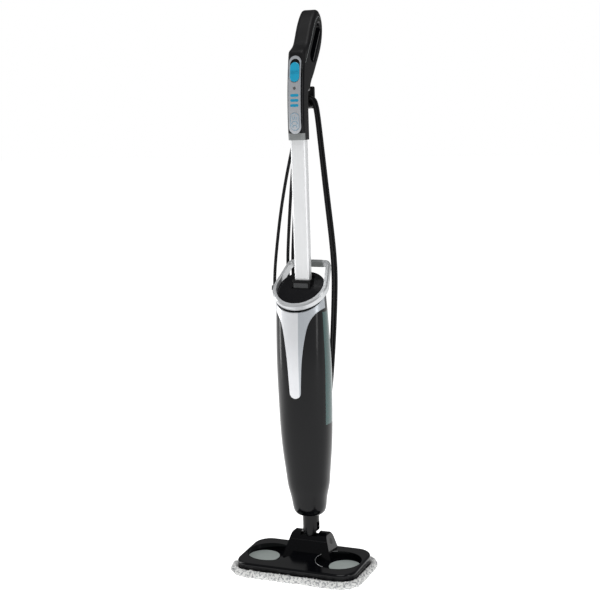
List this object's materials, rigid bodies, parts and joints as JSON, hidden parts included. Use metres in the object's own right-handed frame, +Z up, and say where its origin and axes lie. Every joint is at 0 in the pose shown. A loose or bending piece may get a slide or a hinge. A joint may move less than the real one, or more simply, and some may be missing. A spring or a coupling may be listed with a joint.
{
  "type": "steam mop",
  "caption": "Upright corded steam mop: tufted floor pad, tilting and swivelling neck, slim black body with silver carry ring, pole, loop handle with control panel, lead wound on two hooks.",
  "frame": {"origin": "on the floor under the pole's axis, towards the back of the floor head's sole", "axes": "+Z up along the pole, -Y the front where the control panel and the head's longer side face, +X across the head"},
  "size_m": [0.288, 0.2336, 1.1885],
  "materials": {
    "gloss_black": "glossy moulded",
    "satin_black": "satin moulded",
    "soft_black": "soft-touch",
    "silver": "metallic silver paint",
    "pole_silver": "satin anodised",
    "smoked_tank": "smoked translucent",
    "blue": "glossy",
    "lamp_grey": "glossy lens",
    "light_grey": "satin",
    "mid_grey": "satin ribbed",
    "cloth": "tufted microfibre",
    "hook_loop": "hook fabric",
    "cord": "matte sheath",
    "steel": "plain",
    "brass": "plain",
    "sole_metal": "cast, satin",
    "circuit": "circuit board"
  },
  "bodies": {
    "floor_head": {"cloth_pad": "cloth", "hook_and_loop_strips": "hook_loop", "sole_plate": "sole_metal", "steam_manifold": "mid_grey", "head_cover": "gloss_black", "dish_insert_left": "light_grey", "dish_insert_right": "light_grey", "tilt_axle": "steel", "axle_caps": "satin_black", "head_screws": "steel"},
    "knuckle_joint": {"knuckle": "satin_black", "tilt_bushes": "brass", "swivel_pin": "steel"},
    "mop_body": {"neck_tube": "gloss_black", "front_shell": "gloss_black", "rear_cover_lower": "gloss_black", "rear_cover_upper": "gloss_black", "water_tank": "smoked_tank", "chassis_plate": "satin_black", "boiler": "steel", "pump": "mid_grey", "circuit_board": "circuit", "pump_hose": "light_grey", "steam_hose": "light_grey", "lower_cord_hook": "satin_black", "cord_gland": "satin_black", "body_screws": "steel", "carry_ring": "silver", "ribbed_grip": "mid_grey", "saddle_cap": "satin_black", "silver_tongue": "silver", "pole": "pole_silver", "pole_cable": "cord", "pole_collar": "satin_black", "release_spring": "steel", "control_panel": "silver", "status_lens": "lamp_grey", "level_lenses": "blue", "button_spring": "steel", "handle_collar": "mid_grey", "handle_screws": "steel", "handle_front_shell": "gloss_black", "handle_back_shell": "gloss_black", "soft_grip": "soft_black", "grip_loop": "gloss_black", "control_board": "circuit", "cord_winding": "cord", "cord_tail": "cord", "cord_lead": "cord", "cord_clip": "satin_black", "plug_body": "satin_black", "plug_pins": "brass"},
    "power_slider": {"power_slider": "blue"},
    "steam_button": {"steam_button": "silver"},
    "pole_release_button": {"pole_release_button": "mid_grey"},
    "upper_cord_hook": {"upper_cord_hook": "satin_black", "hook_retainer": "steel"},
    "filler_cap": {"filler_cap": "mid_grey"}
  },
  "joints": [
    {"name": "tilt", "type": "hinge", "parent": "floor_head", "child": "knuckle_joint", "pos_m": [0, 0, 0.057], "axis": [-1, 0, 0], "range_deg": [0, 70]},
    {"name": "swivel", "type": "hinge", "parent": "knuckle_joint", "child": "mop_body", "pos_m": [0, 0, 0.0885], "axis": [0, 1, 0], "range_deg": [-45, 45]},
    {"name": "power_slide", "type": "slide", "parent": "mop_body", "child": "power_slider", "axis": [0, 0.1535, 0.9881], "range_m": [0, 0.006]},
    {"name": "steam_press", "type": "slide", "parent": "mop_body", "child": "steam_button", "axis": [0, 1, 0], "range_m": [0, 0.0012], "stiffness_N_per_m": 500, "deforming": ["button_spring"]},
    {"name": "release_press", "type": "slide", "parent": "mop_body", "child": "pole_release_button", "axis": [0, 1, 0], "range_m": [0, 0.0025], "stiffness_N_per_m": 500, "deforming": ["release_spring"]},
    {"name": "hook_turn", "type": "hinge", "parent": "mop_body", "child": "upper_cord_hook", "pos_m": [0, 0.02, 0.992], "axis": [0, 1, 0], "range_deg": [0, 180]},
    {"name": "cap_pull", "type": "slide", "parent": "mop_body", "child": "filler_cap", "axis": [0, 1, 0], "range_m": [0, 0.055]}
  ]
}
